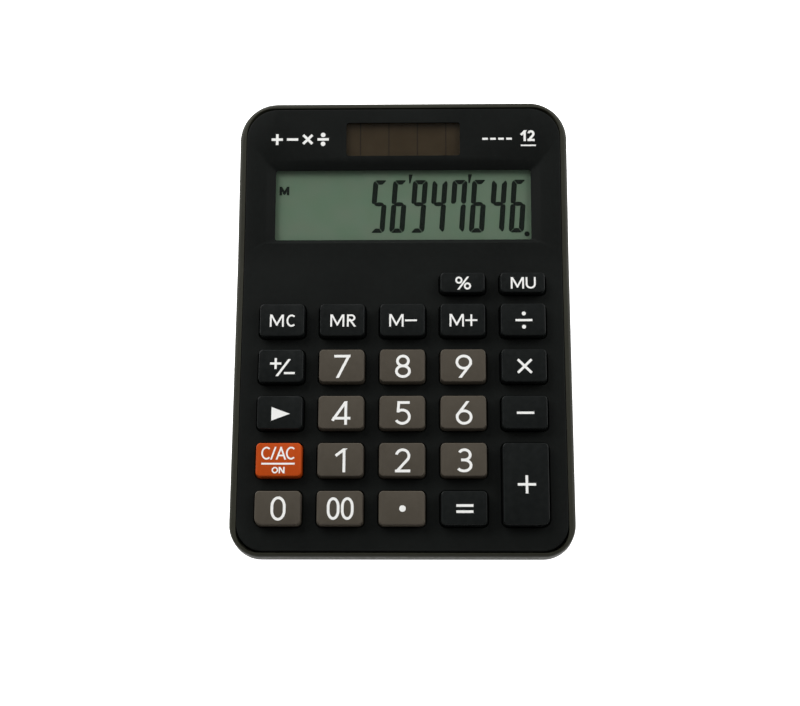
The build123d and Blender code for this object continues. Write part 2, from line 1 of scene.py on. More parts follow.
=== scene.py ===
"""Compact desk calculator: finishes, printed legends and display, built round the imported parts. Metres."""

import json
from math import atan2, ceil, pi, radians, tan

import bmesh
import bpy
from mathutils import Matrix, Vector
from mathutils.bvhtree import BVHTree

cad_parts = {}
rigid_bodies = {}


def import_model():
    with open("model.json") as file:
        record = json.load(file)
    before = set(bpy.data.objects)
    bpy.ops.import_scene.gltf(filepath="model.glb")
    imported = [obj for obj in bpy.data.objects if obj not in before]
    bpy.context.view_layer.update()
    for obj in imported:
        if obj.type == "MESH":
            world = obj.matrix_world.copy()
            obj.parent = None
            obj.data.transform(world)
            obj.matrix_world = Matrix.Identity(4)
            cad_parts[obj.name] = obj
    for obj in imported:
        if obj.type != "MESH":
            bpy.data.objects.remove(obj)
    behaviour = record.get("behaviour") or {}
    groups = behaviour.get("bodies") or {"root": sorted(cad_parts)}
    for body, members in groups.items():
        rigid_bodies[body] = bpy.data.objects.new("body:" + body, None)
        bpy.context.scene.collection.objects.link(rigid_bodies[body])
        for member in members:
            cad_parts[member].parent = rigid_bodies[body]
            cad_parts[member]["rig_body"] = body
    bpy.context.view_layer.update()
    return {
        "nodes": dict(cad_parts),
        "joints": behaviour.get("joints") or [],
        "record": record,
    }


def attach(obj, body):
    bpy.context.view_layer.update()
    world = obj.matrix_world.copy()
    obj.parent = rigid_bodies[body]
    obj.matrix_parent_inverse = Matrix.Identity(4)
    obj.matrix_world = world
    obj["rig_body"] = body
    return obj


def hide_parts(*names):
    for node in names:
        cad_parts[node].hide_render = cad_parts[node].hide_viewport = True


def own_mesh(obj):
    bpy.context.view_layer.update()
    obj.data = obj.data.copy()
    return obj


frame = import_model()
nodes = frame["nodes"]
record = frame["record"]

MM = 0.001
SMOOTH_ANGLE = radians(32)
WELD = 1e-7

FLOOR_GLOW = 1.05  # the floor is a light table, which lifts the shadows

# Keypad
SHEET_THICKNESS = 0.8 * MM
CUT_LIFT = 0.001 * MM
DOME_REACH = 4 * MM  # every dome is well within this of its key's middle, and no other is

# Printing
INK = 0.03 * MM
INK_LIFT = 0.018 * MM
HAIR = 0.0006  # mm between overlapping strokes
DROP = 20 * MM  # height from which a print is dropped on its surface
PRINT_STEP = 0.7  # mm between the points of a long stroke
ARC_STEP = 9  # degrees

DIGIT_HEIGHT = 7.45
DIGIT_STROKE = 0.84
LETTER_STROKE = 0.56
LEGEND_SHIFT = (0.2, -0.25)


# ---------------------------------------------------------------- material nodes


class Wire:
    """An output socket of a node. Arithmetic on it adds Math nodes to its material."""

    def __init__(self, finish, socket):
        self.finish = finish
        self.socket = socket

    def __add__(self, other):
        return self.finish.maths("ADD", self, other)

    def __sub__(self, other):
        return self.finish.maths("SUBTRACT", self, other)

    def __rsub__(self, other):
        return self.finish.maths("SUBTRACT", other, self)

    def __mul__(self, other):
        return self.finish.maths("MULTIPLY", self, other)

    __radd__ = __add__
    __rmul__ = __mul__


class Finish:
    """A material made of nodes. add() makes any node, and the others are its common uses."""

    def __init__(self, name):
        self.material = bpy.data.materials.new(name)
        self.material.use_nodes = True
        self.tree = self.material.node_tree
        self.tree.nodes.clear()

    def add(self, kind, inputs=None, output=0, stops=(), **settings):
        """Adds a node: its settings, then its ramp's stops, then a value or a wire for each socket."""
        node = self.tree.nodes.new("ShaderNode" + kind)
        for key, value in settings.items():
            setattr(node, key, value)
        for index, (position, colour) in enumerate(stops):
            elements = node.color_ramp.elements
            element = elements[index] if index < len(elements) else elements.new(position)
            element.position = position
            element.color = (*colour, 1)
        for key, value in (inputs or {}).items():
            if isinstance(value, Wire):
                self.tree.links.new(value.socket, node.inputs[key])
            else:
                node.inputs[key].default_value = value
        return Wire(self, node.outputs[output]) if node.outputs else None

    def maths(self, operation, first, second=0.0):
        return self.add("Math", {0: first, 1: second}, operation=operation)

    def place(self, scale=(1, 1, 1)):
        """The piece's own coordinates, in metres, stretched if wanted."""
        here = self.add("TexCoord", output="Object")
        return self.add("Mapping", {"Vector": here, "Scale": scale})

    def axis(self, name):
        """One of the piece's own coordinates, in metres."""
        here = self.add("TexCoord", output="Object")
        return self.add("SeparateXYZ", {"Vector": here}, output=name)

    def noise(self, size, detail=2.0, rough=0.5, scale=(1, 1, 1)):
        """Noise with blotches of about that size, in metres, from 0 to 1."""
        inputs = {"Vector": self.place(scale), "Scale": 1 / size, "Detail": detail, "Roughness": rough}
        return self.add("TexNoise", inputs, output="Fac")

    def spread(self, wire, low, high, start=0.3, end=0.7):
        """A wire's middle range stretched between two numbers."""
        inputs = {"Value": wire, "From Min": start, "From Max": end, "To Min": low, "To Max": high}
        return self.add("MapRange", inputs, output=0, clamp=True)

    def blend(self, share, first, second):
        """A colour between two colours, or between a colour and a wire."""
        first, second = ((*c, 1) if isinstance(c, tuple) else c for c in (first, second))
        return self.add("Mix", {0: share, 6: first, 7: second}, output=2, data_type="RGBA")

    def bump(self, height, depth, strength=1.0, normal=None):
        """Normal bent by a height wire, whose 0 to 1 stands for a depth in metres."""
        inputs = {"Height": height, "Distance": depth, "Strength": strength}
        if normal:
            inputs["Normal"] = normal
        return self.add("Bump", inputs)

    def shade(self, **sockets):
        """One surface shader, its sockets named with underscores."""
        inputs = {key.replace("_", " "): value for key, value in sockets.items()}
        shader = self.add("BsdfPrincipled", inputs)
        return self.show(shader)

    def show(self, shader):
        self.add("OutputMaterial", {"Surface": shader})
        return self.material


# ---------------------------------------------------------------- finishes


def moulded(name, colour, drift, grain, depth, polish, specular, speck=0.0):
    """Moulded plastic: spark-eroded grain, slow drift of its colour and uneven polish."""
    finish = Finish(name)
    slow = finish.spread(finish.noise(22 * MM, 3), 0, 1)
    mottle = finish.spread(finish.noise(1.6 * MM, 4, 0.6), 0, 1)
    fine = finish.noise(grain, 3, 0.6)
    light = tuple(c * (1 + drift) for c in colour)
    dark = tuple(c * (1 - drift) for c in colour)
    tone = finish.blend(slow * 0.6 + mottle * 0.4, dark, light)
    if speck:
        dust = finish.spread(finish.noise(0.45 * MM, 1, 0.5), 0, speck, 0.74, 0.8)
        tone = finish.blend(dust, tone, (0.35, 0.33, 0.30))
    rough = finish.spread(fine * 0.5 + mottle * 0.5, polish[0], polish[1])
    normal = finish.bump(fine, depth)
    return finish.shade(Base_Color=tone, Roughness=rough, Normal=normal, Specular_IOR_Level=specular)


def face_black():
    colour = (0.0052, 0.0060, 0.0055)
    return moulded("face_black", colour, 0.22, 0.16 * MM, 0.012 * MM, (0.54, 0.62), 0.05, 0.02)


def case_olive():
    colour = (0.020, 0.020, 0.0135)
    return moulded("case_olive", colour, 0.12, 0.14 * MM, 0.010 * MM, (0.42, 0.58), 0.15, 0.02)


def key_black():
    return moulded("key_black", (0.0048, 0.0058, 0.0056), 0.2, 0.10 * MM, 0.006 * MM, (0.34, 0.46), 0.1)


def key_brown():
    return moulded("key_brown", (0.056, 0.048, 0.037), 0.08, 0.10 * MM, 0.006 * MM, (0.4, 0.52), 0.1)


def key_orange():
    return moulded("key_orange", (0.36, 0.048, 0.004), 0.08, 0.10 * MM, 0.006 * MM, (0.38, 0.5), 0.1)


def inner_plastic():
    return moulded("inner_plastic", (0.03, 0.03, 0.032), 0.1, 0.2 * MM, 0.01 * MM, (0.45, 0.6), 0.4)


def foot_rubber():
    return moulded("foot_rubber", (0.03, 0.03, 0.029), 0.2, 0.3 * MM, 0.02 * MM, (0.75, 0.9), 0.25, 0.1)


def silicone_grey():
    return moulded("silicone_grey", (0.42, 0.43, 0.42), 0.05, 0.3 * MM, 0.01 * MM, (0.5, 0.65), 0.4)


def epoxy_black():
    return moulded("epoxy_black", (0.01, 0.01, 0.011), 0.2, 0.8 * MM, 0.02 * MM, (0.12, 0.3), 0.5)


def component_body():
    return moulded("component_body", (0.045, 0.06, 0.14), 0.1, 0.4 * MM, 0.005 * MM, (0.3, 0.4), 0.5)


def wire_red():
    return moulded("wire_red", (0.45, 0.02, 0.015), 0.08, 0.3 * MM, 0.004 * MM, (0.35, 0.45), 0.45)


def wire_black():
    return moulded("wire_black", (0.012, 0.012, 0.013), 0.1, 0.3 * MM, 0.004 * MM, (0.35, 0.45), 0.45)


def ribbon_film():
    """Orange-brown polyimide film with fine conductors across its width."""
    finish = Finish("ribbon_film")
    stripes = finish.maths("SINE", finish.axis("X") * (2 * pi / (0.8 * MM)))
    tone = finish.blend(finish.spread(stripes, 0, 1, 0.1, 0.4), (0.33, 0.13, 0.03), (0.5, 0.27, 0.12))
    rough = finish.spread(finish.noise(3 * MM), 0.25, 0.4)
    return finish.shade(Base_Color=tone, Roughness=rough, Specular_IOR_Level=0.5)


def foam():
    """Open-cell foam pad."""
    finish = Finish("foam")
    cells = finish.add("TexVoronoi", {"Vector": finish.place(), "Scale": 1 / (0.5 * MM)}, output="Distance")
    tone = finish.blend(cells, (0.05, 0.05, 0.052), (0.16, 0.16, 0.165))
    return finish.shade(Base_Color=tone, Roughness=0.95, Normal=finish.bump(cells, 0.2 * MM))


def metal(name, colour, polish, stretch, depth):
    """Drawn, rolled or plated metal, with marks stretched along one way."""
    finish = Finish(name)
    marks = finish.noise(0.3 * MM, 4, 0.6, stretch)
    stain = finish.spread(finish.noise(3 * MM, 3), 0, 1)
    tone = finish.blend(stain, tuple(0.8 * c for c in colour), colour)
    rough = finish.spread(marks * 0.6 + stain * 0.4, polish[0], polish[1])
    normal = finish.bump(marks, depth)
    return finish.shade(Base_Color=tone, Roughness=rough, Metallic=1.0, Normal=normal)


def cell_steel():
    return metal("cell_steel", (0.62, 0.61, 0.58), (0.16, 0.34), (1, 0.1, 1), 0.004 * MM)


def spring_plate():
    return metal("spring_plate", (0.66, 0.62, 0.5), (0.2, 0.35), (0.1, 1, 1), 0.003 * MM)


def screw_steel():
    return metal("screw_steel", (0.5, 0.5, 0.5), (0.25, 0.45), (1, 1, 0.3), 0.006 * MM)


def film_silver():
    return metal("film_silver", (0.55, 0.57, 0.55), (0.3, 0.45), (1, 0.05, 1), 0.002 * MM)


def label_silver():
    """Satin foil label with a fine brushed grain."""
    return metal("label_silver", (0.5, 0.5, 0.49), (0.35, 0.5), (0.04, 1, 1), 0.003 * MM)


def board_green():
    """Solder mask over tracks, which show as slightly raised, lighter lines."""
    finish = Finish("board_green")
    cells = {"Vector": finish.place(), "Scale": 1 / (3.2 * MM)}
    edges = {"feature": "DISTANCE_TO_EDGE", "distance": "MANHATTAN"}
    tracks = finish.add("TexVoronoi", cells, output="Distance", **edges)
    copper = finish.spread(tracks, 1, 0, 0.08, 0.13)
    tone = finish.blend(copper, (0.008, 0.075, 0.03), (0.02, 0.15, 0.05))
    return finish.shade(Base_Color=tone, Roughness=0.35, Normal=finish.bump(copper, 0.03 * MM))


def clear(name, tint, gloss):
    """Clear plate: what is behind shows through, under a faint reflection."""
    finish = Finish(name)
    through = finish.add("BsdfTransparent", {"Color": (*tint, 1)})
    rough = finish.spread(finish.noise(18 * MM), 0.02, 0.06)
    mirror = finish.add("BsdfAnisotropic", {"Color": (1, 1, 1, 1), "Roughness": rough})
    outside = 1 - finish.add("NewGeometry", output="Backfacing")
    share = finish.add("Fresnel", {"IOR": 1.45}) * gloss * outside
    return finish.show(finish.add("MixShader", {0: share, 1: through, 2: mirror}))


def clear_window():
    return clear("clear_window", (0.95, 0.96, 0.95), 0.35)


def lcd_glass():
    """Liquid crystal between polarisers over a grey-green reflector, with faint clouds of tint."""
    finish = Finish("lcd_glass")
    cloud = finish.spread(finish.noise(9 * MM, 2), 0, 1)
    patch = finish.spread(finish.noise(4 * MM, 2), 0, 1)
    tone = finish.blend(cloud, (0.099, 0.149, 0.100), (0.116, 0.154, 0.112))
    tone = finish.blend(patch * 0.35, tone, (0.103, 0.162, 0.116))
    rough = finish.spread(patch, 0.45, 0.6)
    return finish.shade(Base_Color=tone, Roughness=rough, Specular_IOR_Level=0.15)


def solar_brown():
    """Amorphous silicon cell: dark strips side by side, parted by thin scribed lines."""
    finish = Finish("solar_brown")
    strip = 9.3 * MM
    across = finish.maths("FRACT", finish.axis("X") * (1 / strip) + 0.5)
    edge = finish.maths("ABSOLUTE", across - 0.5)
    line = finish.spread(edge, 0, 1, 0.478, 0.488)
    cloud = finish.spread(finish.noise(7 * MM, 3), 0, 1)
    tone = finish.blend(cloud, (0.027, 0.018, 0.009), (0.036, 0.025, 0.014))
    tone = finish.blend(line, tone, (0.012, 0.008, 0.006))
    return finish.shade(Base_Color=tone, Roughness=0.3, Specular_IOR_Level=0.15)


def ink(name, colour, rough):
    """Printed ink, slightly uneven where the pad left it thinner."""
    finish = Finish(name)
    thin = finish.spread(finish.noise(0.5 * MM, 3), 0, 1)
    tone = finish.blend(thin, colour, tuple(0.94 * c for c in colour))
    rough = finish.spread(thin, rough, rough + 0.15)
    return finish.shade(Base_Color=tone, Roughness=rough, Specular_IOR_Level=0.1)


def pale_floor():
    finish = Finish("pale_floor")
    tone = finish.blend(finish.noise(60 * MM, 3), (0.9, 0.9, 0.9), (0.92, 0.92, 0.92))
    return finish.shade(Base_Color=tone, Roughness=0.9, Emission_Color=tone, Emission_Strength=FLOOR_GLOW)


MAKERS = (
    face_black, case_olive, key_black, key_brown, key_orange, clear_window, lcd_glass, film_silver,
    solar_brown, inner_plastic, ribbon_film, foam, wire_red, wire_black, board_green, epoxy_black,
    component_body, silicone_grey, cell_steel, spring_plate, screw_steel, foot_rubber, label_silver,
)
FINISHES = {maker.__name__: maker() for maker in MAKERS}
WHITE_INK = ink("white_ink", (0.72, 0.72, 0.70), 0.5)
SEGMENT_BLACK = ink("segment_black", (0.002, 0.005, 0.003), 0.5)


# ---------------------------------------------------------------- CAD nodes


def body_of(node):
    return nodes[node]["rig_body"]


def smooth_piece(node, slot):
    """A welded copy of a CAD node, shaded smooth across its curved faces, stands for the node."""
    shape = bmesh.new()
    shape.from_mesh(nodes[node].data)
    bmesh.ops.remove_doubles(shape, verts=shape.verts, dist=WELD)
    for face in shape.faces:
        face.smooth = True
    mesh = bpy.data.meshes.new(node + "_piece")
    shape.to_mesh(mesh)
    shape.free()
    if "custom_normal" in mesh.attributes:
        mesh.attributes.remove(mesh.attributes["custom_normal"])
    mesh.set_sharp_from_angle(angle=SMOOTH_ANGLE)
    mesh.materials.clear()
    mesh.materials.append(FINISHES[slot])
    piece = show(mesh, body_of(node))
    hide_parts(node)
    return piece


def show(mesh, body):
    """Links a mesh as a piece that rides on a body."""
    piece = bpy.data.objects.new(mesh.name, mesh)
    bpy.context.scene.collection.objects.link(piece)
    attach(piece, body)
    return piece


def surface_of(node):
    """A tree of a node's faces, for finding where a straight line meets them."""
    mesh = nodes[node].data
    return BVHTree.FromPolygons([v.co for v in mesh.vertices], [p.vertices for p in mesh.polygons])


def plane_on(node, normal):
    """Axes lying on the top of a node: x across, y up the slope, z along the normal."""
    along = Vector(normal).cross((1, 0, 0))
    axes = Matrix(((1, 0, 0), along, normal)).transposed()
    inside = axes.transposed()
    points = [inside @ v.co for v in nodes[node].data.vertices]
    low = Vector(map(min, zip(*points)))
    high = Vector(map(max, zip(*points)))
    middle = axes @ Vector(((low.x + high.x) / 2, (low.y + high.y) / 2, high.z))
    return Matrix.Translation(middle) @ axes.to_4x4()


def broad_normal(node):
    """Direction of a node's broadest upward face."""
    return max(nodes[node].data.polygons, key=lambda face: face.area * face.normal.z).normal.normalized()


def cut_sheet(normal, height, side):
    """The dome sheet's mesh on one side of a plane at a height along the keyboard normal, closed again."""
    shape = bmesh.new()
    shape.from_mesh(nodes["dome_sheet"].data)
    bmesh.ops.remove_doubles(shape, verts=shape.verts, dist=WELD)
    everything = shape.verts[:] + shape.edges[:] + shape.faces[:]
    cut = {"plane_co": normal * height, "plane_no": normal * side, "clear_inner": True}
    made = bmesh.ops.bisect_plane(shape, geom=everything, dist=WELD, **cut)["geom_cut"]
    edges = [part for part in made if isinstance(part, bmesh.types.BMEdge)]
    bmesh.ops.triangle_fill(shape, edges=edges, normal=-normal * side)
    bmesh.ops.recalc_face_normals(shape, faces=shape.faces)
    return shape


def silicone_piece(name, shape):
    """A piece of the silicone sheet made from a shape."""
    mesh = bpy.data.meshes.new(name)
    shape.to_mesh(mesh)
    shape.free()
    mesh.materials.append(FINISHES["silicone_grey"])
    piece = show(mesh, body_of("dome_sheet"))
    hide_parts("dome_sheet")
    return piece


def keypad():
    """The silicone sheet, and on it a dome under each key."""
    normal = -Vector(frame["joints"][0]["axis"]).normalized()
    heights = [normal.dot(v.co) for v in nodes["dome_sheet"].data.vertices]
    cut = min(heights) + SHEET_THICKNESS + CUT_LIFT
    silicone_piece("dome_sheet_piece", cut_sheet(normal, cut, -1))
    for joint in frame["joints"]:
        key = joint["child"]
        middle = plane_on(key, normal).translation
        dome = cut_sheet(normal, cut, 1)
        far = []
        for vert in dome.verts:
            away = vert.co - middle
            if (away - normal * away.dot(normal)).length > DOME_REACH:
                far.append(vert)
        bmesh.ops.delete(dome, geom=far, context="VERTS")
        piece = silicone_piece("dome_" + key.removeprefix("key_"), dome)
        anchor = middle - normal * (middle.dot(normal) - cut)
        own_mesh(piece)


# ---------------------------------------------------------------- printed shapes

# Each glyph: its width as a share of its height, then its strokes between the middles of its outer
# strokes, from 0 to 1 each way. Four numbers are a bar from one point to another, and a fifth is how
# far its ends run on, in strokes; six are a bow: middle, radii, and the angles where it starts and ends.
OVAL_ENDS = [(0.5, 0.6, 0.5, 0.4, 0, 180), (0.5, 0.4, 0.5, 0.4, 180, 360)]
OVAL_SIDES = [(0, 0.38, 0, 0.62, 0), (1, 0.38, 1, 0.62, 0)]
BOWLS = [(0.5, 0.76, 0.44, 0.24, -90, 152), (0.46, 0.26, 0.54, 0.26, -145, 90)]
GLYPHS = {
    "0": (0.62, OVAL_ENDS + OVAL_SIDES),
    "o": (0.56, OVAL_ENDS + OVAL_SIDES),
    "1": (0.37, [(1, 0, 1, 1), (0.05, 0.81, 1, 1.02)]),
    "2": (0.63, [(0.5, 0.715, 0.5, 0.285, -40, 168), (0.885, 0.535, 0.06, 0, 0.1), (0, 0, 1, 0)]),
    "3": (0.65, BOWLS + [(0.34, 0.52, 0.5, 0.52)]),
    "4": (0.74, [(0.78, 0, 0.78, 1), (0, 0.25, 1, 0.25), (0.02, 0.26, 0.74, 1.0)]),
    "5": (0.66, [(0.19, 1, 0.92, 1), (0.19, 1, 0.14, 0.55, 0.2), (0.46, 0.32, 0.54, 0.32, -148, 128)]),
    "6": (0.69, [(0.5, 0.3, 0.5, 0.3, 0, 360), (0.1, 0.475, 0.7, 1.0)]),
    "7": (0.68, [(0, 1, 1, 1), (0.97, 1, 0.2, 0)]),
    "8": (0.66, [(0.5, 0.76, 0.42, 0.24, 0, 360), (0.5, 0.26, 0.5, 0.26, 0, 360)]),
    "9": (0.69, [(0.5, 0.7, 0.5, 0.3, 0, 360), (0.9, 0.525, 0.3, 0)]),
    "A": (0.76, [(0, 0, 0.5, 1), (1, 0, 0.5, 1), (0.2, 0.3, 0.8, 0.3, 0)]),
    "C": (0.71, [(0.58, 0.5, 0.58, 0.5, 48, 312)]),
    "M": (1.1, [(0, 0, 0, 1), (1, 0, 1, 1), (0.07, 1, 0.5, 0.12, 0.5), (0.93, 1, 0.5, 0.12, 0.5)]),
    "N": (0.9, [(0, 0, 0, 1), (1, 0, 1, 1), (0.1, 1, 0.9, 0)]),
    "O": (1.0, [(0.5, 0.5, 0.5, 0.5, 0, 360)]),
    "R": (
        0.66,
        [(0, 0, 0, 1), (0, 1, 0.5, 1), (0.5, 0.75, 0.5, 0.25, -90, 90), (0, 0.5, 0.5, 0.5), (0.4, 0.5, 1, 0)],
    ),
    "U": (0.83, [(0, 0.38, 0, 1), (1, 0.38, 1, 1), (0.5, 0.38, 0.5, 0.38, 180, 360)]),
    "/": (0.42, [(0, 0, 1, 1)]),
    "%": (1.18, [(0.2, 0.76, 0.19, 0.24, 0, 360), (0.8, 0.24, 0.19, 0.24, 0, 360), (0.2, 0, 0.8, 1)]),
    "+": (0.92, [(0.5, 0.04, 0.5, 0.96), (0, 0.5, 1, 0.5)]),
    "-": (0.92, [(0, 0.5, 1, 0.5)]),
}


class Print:
    """Flat shapes of ink, in millimetres, x across and y up, dropped on a surface at the end."""

    def __init__(self):
        self.shape = bmesh.new()
        self.strokes = 0

    def lay(self, stroke, floor=None, ceiling=None):
        """Adds a stroke, cut level at a floor and a ceiling, a hair above the last one."""
        for height, side in ((floor, -1), (ceiling, 1)):
            if height is not None:
                everything = stroke.verts[:] + stroke.edges[:] + stroke.faces[:]
                cut = {"plane_co": (0, height, 0), "plane_no": (0, side, 0), "clear_outer": True}
                bmesh.ops.bisect_plane(stroke, geom=everything, dist=WELD, **cut)
        for vert in stroke.verts:
            vert.co.z = self.strokes * HAIR
        self.strokes += 1
        carrier = bpy.data.meshes.new("stroke")
        stroke.to_mesh(carrier)
        stroke.free()
        self.shape.from_mesh(carrier)
        bpy.data.meshes.remove(carrier)

    def bar(self, start, end, width, run_on=0.0, **cuts):
        """Straight stroke, divided along its length so that it can follow a dished top."""
        start, end = Vector(start), Vector(end)
        along = end - start
        length = along.length + 2 * run_on * width
        middle = ((start + end) / 2).to_3d()
        turn = Matrix.Rotation(atan2(along.y, along.x), 4, "Z")
        size = Matrix.Diagonal((length, width, 1, 1))
        stroke = bmesh.new()
        steps = max(1, ceil(length / PRINT_STEP))
        place = Matrix.Translation(middle) @ turn @ size
        bmesh.ops.create_grid(stroke, x_segments=steps, y_segments=1, size=0.5, matrix=place)
        self.lay(stroke, **cuts)

    def bow(self, middle, radii, start, end, width, **cuts):
        """Stroke round part of an ellipse: an edge spun about the middle, then spread to the radii."""
        stroke = bmesh.new()
        inner = stroke.verts.new((1, 0, 0))
        outer = stroke.verts.new((2, 0, 0))
        edge = stroke.edges.new((inner, outer))
        first = Matrix.Rotation(radians(start), 3, "Z")
        bmesh.ops.rotate(stroke, verts=stroke.verts, cent=(0, 0, 0), matrix=first)
        turn = {"cent": (0, 0, 0), "axis": (0, 0, 1), "angle": radians(end - start)}
        steps = ceil((end - start) / ARC_STEP)
        bmesh.ops.spin(stroke, geom=[inner, outer, edge], steps=steps, use_merge=end - start == 360, **turn)
        for vert in stroke.verts:
            grow = width / 2 if vert.co.length > 1.5 else -width / 2
            way = vert.co.normalized()
            vert.co = (middle[0] + way.x * (radii[0] + grow), middle[1] + way.y * (radii[1] + grow), 0)
        self.lay(stroke, **cuts)

    def dot(self, middle, radius):
        stroke = bmesh.new()
        place = Matrix.Translation((*middle, 0))
        bmesh.ops.create_circle(stroke, cap_ends=True, segments=28, radius=radius, matrix=place)
        self.lay(stroke)

    def plate(self, points):
        """Flat shape with a few corners."""
        stroke = bmesh.new()
        stroke.faces.new([stroke.verts.new((x, y, 0)) for x, y in points])
        self.lay(stroke)

    def glyph(self, name, x, y, height, width_mm, stroke):
        """One glyph, its lower left corner at x, y."""
        wide = width_mm - stroke
        tall = height - stroke
        left = x + stroke / 2
        low = y + stroke / 2
        cuts = {"floor": y, "ceiling": y + height}
        for numbers in GLYPHS[name][1]:
            if len(numbers) == 6:
                cx, cy, rx, ry, start, end = numbers
                middle = (left + cx * wide, low + cy * tall)
                self.bow(middle, (rx * wide, ry * tall), start, end, stroke, **cuts)
            else:
                x0, y0, x1, y1, *more = numbers
                run_on = more[0] if more else 0.5 + 0.7 * (x0 != x1 and y0 != y1)
                first = (left + x0 * wide, low + y0 * tall)
                last = (left + x1 * wide, low + y1 * tall)
                self.bar(first, last, stroke, run_on, **cuts)

    def word(self, text, middle, height, stroke, gap=0.3):
        """A row of glyphs about its middle."""
        widths = [GLYPHS[name][0] * height for name in text]
        x = middle[0] - (sum(widths) + gap * (len(text) - 1)) / 2
        for name, width in zip(text, widths):
            self.glyph(name, x, middle[1] - height / 2, height, width, stroke)
            x += width + gap

    def drop(self, name, plane, surface, body, material):
        """Drops the shapes square onto a surface and makes them one thin piece."""
        up = plane.to_3x3() @ Vector((0, 0, 1))
        for face in self.shape.faces:
            if face.normal.z < 0:
                face.normal_flip()
        for vert in self.shape.verts:
            above = plane @ Vector((vert.co.x * MM, vert.co.y * MM, DROP))
            hit = surface.ray_cast(above, -up)[0]
            vert.co = hit + up * (INK_LIFT + vert.co.z * MM)
        mesh = bpy.data.meshes.new(name)
        self.shape.to_mesh(mesh)
        self.shape.free()
        mesh.materials.append(material)
        piece = show(mesh, body)
        solid = piece.modifiers.new("thickness", "SOLIDIFY")
        solid.thickness = INK
        solid.offset = -1
        return piece


def sign_plus(print_, middle, size, stroke):
    x, y = middle
    print_.bar((x - size / 2, y), (x + size / 2, y), stroke)
    print_.bar((x, y - size / 2), (x, y + size / 2), stroke)


def sign_minus(print_, middle, size, stroke):
    x, y = middle
    print_.bar((x - size / 2, y), (x + size / 2, y), stroke)


def sign_times(print_, middle, size, stroke):
    x, y = middle
    half = size / 2
    print_.bar((x - half, y - half), (x + half, y + half), stroke)
    print_.bar((x - half, y + half), (x + half, y - half), stroke)


def sign_divide(print_, middle, size, stroke):
    x, y = middle
    sign_minus(print_, middle, size, stroke)
    for side in (-1, 1):
        print_.dot((x, y + side * 0.41 * size), 0.9 * stroke)


def sign_equals(print_, middle, size, stroke):
    x, y = middle
    for side in (-1, 1):
        sign_minus(print_, (x, y + side * 0.18 * size), size, stroke)


# ---------------------------------------------------------------- legends


def legend_sign(print_):
    """Change-sign key: a small plus and minus on either side of a stroke."""
    sign_plus(print_, (-1.87, 0.97), 3.5, 0.72)
    print_.bar((-1.45, -3.1), (2.45, 2.35), 0.72, 0.6, floor=-3.1, ceiling=2.35)
    sign_minus(print_, (2.5, -2.14), 3.4, 0.68)


def legend_clear(print_):
    """Clear key: its two uses above a rule, and a small word below."""
    print_.word("C/AC", (-0.35, 2.25), 4.0, 0.5, gap=0.02)
    print_.bar((-5.5, -1.04), (4.8, -1.04), 0.55)
    print_.word("ON", (-0.29, -3.03), 2.0, 0.42, gap=0.2)


def legend_backspace(print_):
    """Step-back key: a solid arrowhead pointing right."""
    print_.plate([(-2.8, 1.94), (-2.8, -2.42), (-1.0, -1.72), (2.95, -0.24), (-1.0, 1.24)])


def words(text, height, stroke, gap=0.3):
    return lambda print_: print_.word(text, (0, 0), height, stroke, gap)


def signs(draw, size, stroke):
    return lambda print_: draw(print_, (0, 0), size, stroke)


LEGENDS = {str(digit): words(str(digit), DIGIT_HEIGHT, DIGIT_STROKE) for digit in range(10)}
LEGENDS |= {
    "00": words("oo", 6.95, DIGIT_STROKE, 0.42),
    "point": lambda print_: print_.dot((0, 0), 1.0),
    "equals": signs(sign_equals, 5.2, 0.8),
    "plus": signs(sign_plus, 5.6, 0.8),
    "minus": signs(sign_minus, 5.4, 0.75),
    "times": signs(sign_times, 4.3, 0.78),
    "divide": signs(sign_divide, 5.3, 0.72),
    "sign": legend_sign,
    "clear_on": legend_clear,
    "backspace": legend_backspace,
    "memory_clear": words("MC", 4.0, LETTER_STROKE, 0.85),
    "memory_recall": words("MR", 4.0, LETTER_STROKE, 0.85),
    "memory_minus": words("M-", 4.1, LETTER_STROKE, 0.45),
    "memory_plus": words("M+", 4.1, LETTER_STROKE, 0.45),
    "percent": words("%", 4.3, LETTER_STROKE),
    "markup": words("MU", 3.8, LETTER_STROKE, 0.55),
}


def key_legends():
    """A white legend on every key, following its dished top and moving with it."""
    for joint in frame["joints"]:
        key = joint["child"]
        name = key.removeprefix("key_")
        plane = plane_on(key, -Vector(joint["axis"]))
        plane = plane @ Matrix.Translation((LEGEND_SHIFT[0] * MM, LEGEND_SHIFT[1] * MM, 0))
        print_ = Print()
        LEGENDS[name](print_)
        print_.drop("legend_" + name, plane, surface_of(key), key, WHITE_INK)


# ---------------------------------------------------------------- display

LCD_DIGIT_WIDTH = 4.95
LCD_DIGIT_HEIGHT = 17.75
LCD_MIDDLE = 9.6  # height of the middle segment
LCD_PITCH = 6.45
LCD_FIRST = -10.3  # left edge of the first digit shown, from the middle of the aperture
LCD_LOW = -9.0  # foot of the digits
LCD_SLANT = tan(radians(4.2))
LCD_SEGMENTS = {"4": "bcfg", "5": "acdfg", "6": "acdefg", "7": "abcf", "9": "abcdfg"}
LCD_SHOWN = "56947646"
LCD_TICKS = (2, 5)  # a thousands mark before these digits


